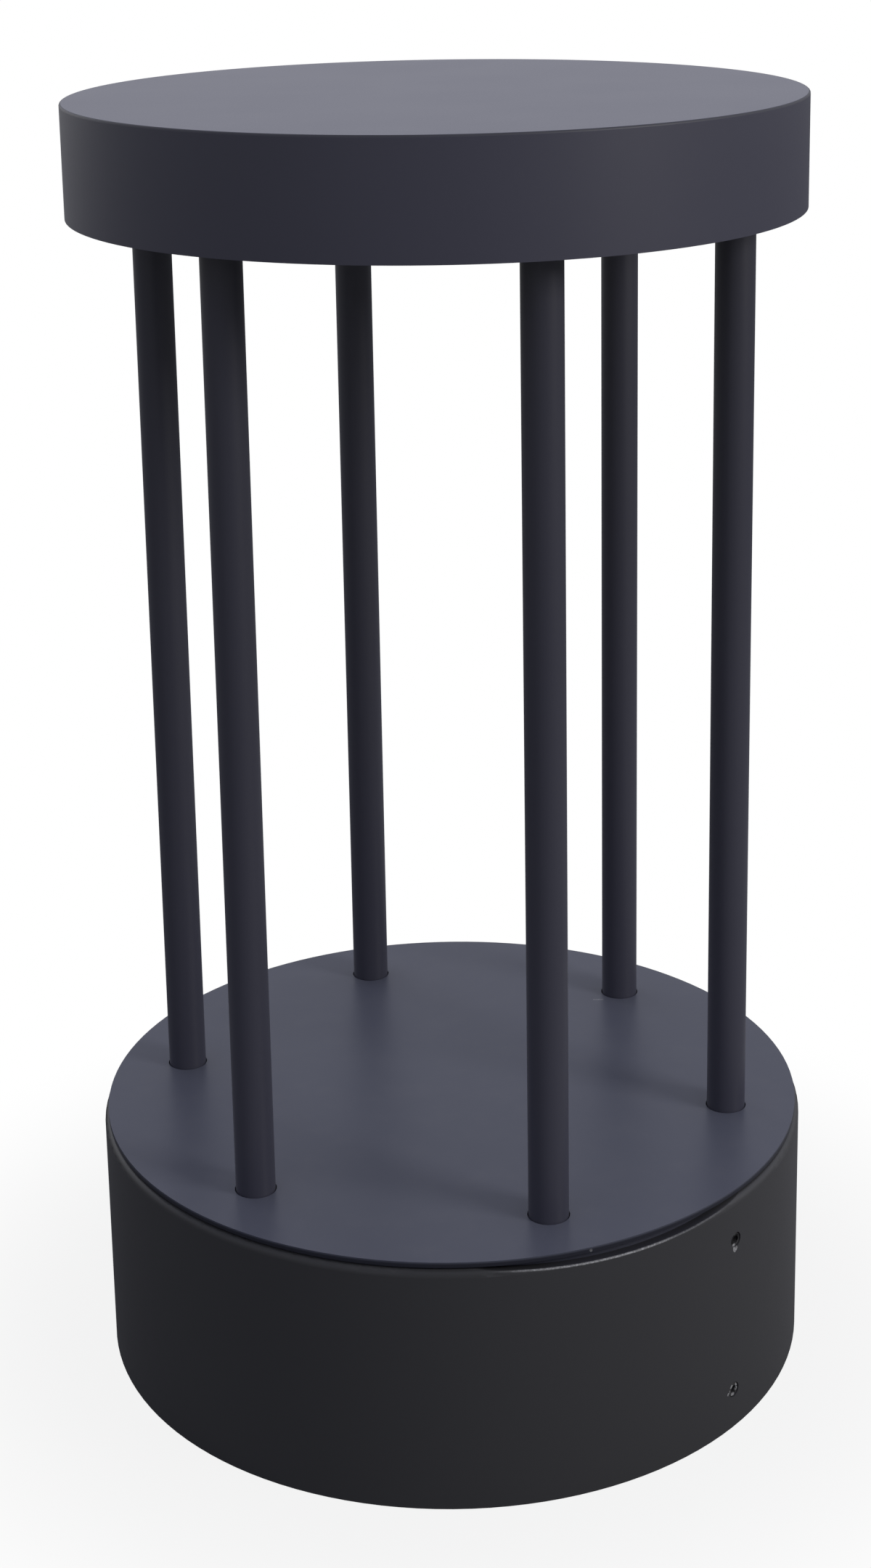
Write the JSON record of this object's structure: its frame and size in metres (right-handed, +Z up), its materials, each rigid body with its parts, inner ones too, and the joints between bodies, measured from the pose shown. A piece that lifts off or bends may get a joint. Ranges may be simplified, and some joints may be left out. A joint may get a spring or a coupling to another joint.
{
  "type": "bollard luminaire",
  "caption": "Low round bollard light: drum base with a flat deck, straight round posts and a thick disc lamp head, in anthracite powder-coated metal.",
  "frame": {"origin": "middle of the underside, on the ground", "axes": "+Z up along the drum's axis, front along -Y, +X to the right seen from the front"},
  "size_m": [0.28, 0.28, 0.5],
  "materials": {
    "head_coat": "satin anthracite powder coat",
    "post_coat": "satin anthracite powder coat",
    "deck_coat": "satin anthracite powder coat",
    "drum_coat": "satin anthracite powder coat, chipped round the side screws",
    "hidden_coat": "anthracite powder coat, matt on hidden faces",
    "black_screw": "blackened stainless steel set screw",
    "zinc_steel": "stainless steel",
    "seal_rubber": "black rubber, matt",
    "opal": "opal acrylic, satin",
    "bare_aluminium": "machined aluminium",
    "board_white": "aluminium board under white lacquer",
    "chip_yellow": "LED chip with yellow phosphor",
    "box_grey": "grey moulded plastic",
    "black_plastic": "black moulded plastic",
    "cable_sheath": "black cable sheath"
  },
  "bodies": {
    "root": {"ground_flange": "hidden_coat", "cable_grommet": "seal_rubber", "drum_sleeve": "drum_coat", "deck": "deck_coat", "deck_seal": "seal_rubber", "lower_side_screws": "black_screw", "upper_side_screws": "black_screw", "post_1": "post_coat", "post_2": "post_coat", "post_3": "post_coat", "feed_post": "post_coat", "post_5": "post_coat", "post_6": "post_coat", "lower_post_screws": "zinc_steel", "lower_post_washers": "zinc_steel", "upper_post_screws": "zinc_steel", "upper_post_washers": "zinc_steel", "lower_nipple": "zinc_steel", "upper_nipple": "zinc_steel", "nipple_washers": "zinc_steel", "nipple_nuts": "zinc_steel", "lamp_plate": "hidden_coat", "diffuser_seal": "seal_rubber", "diffuser": "opal", "diffuser_clamp": "zinc_steel", "clamp_screws": "zinc_steel", "heat_spreader": "bare_aluminium", "led_board": "board_white", "led_chips": "chip_yellow", "board_connector": "black_plastic", "board_screws": "zinc_steel", "head_cap": "head_coat", "cap_seal": "seal_rubber", "cap_screws": "black_screw", "driver": "bare_aluminium", "driver_screws": "zinc_steel", "junction_box": "box_grey", "junction_lid": "box_grey", "lid_screws": "zinc_steel", "box_screws": "zinc_steel", "terminal_block": "black_plastic", "supply_gland": "black_plastic", "link_gland": "black_plastic", "earth_screw": "zinc_steel", "link_lead": "cable_sheath", "head_lead": "cable_sheath"}
  },
  "joints": []
}
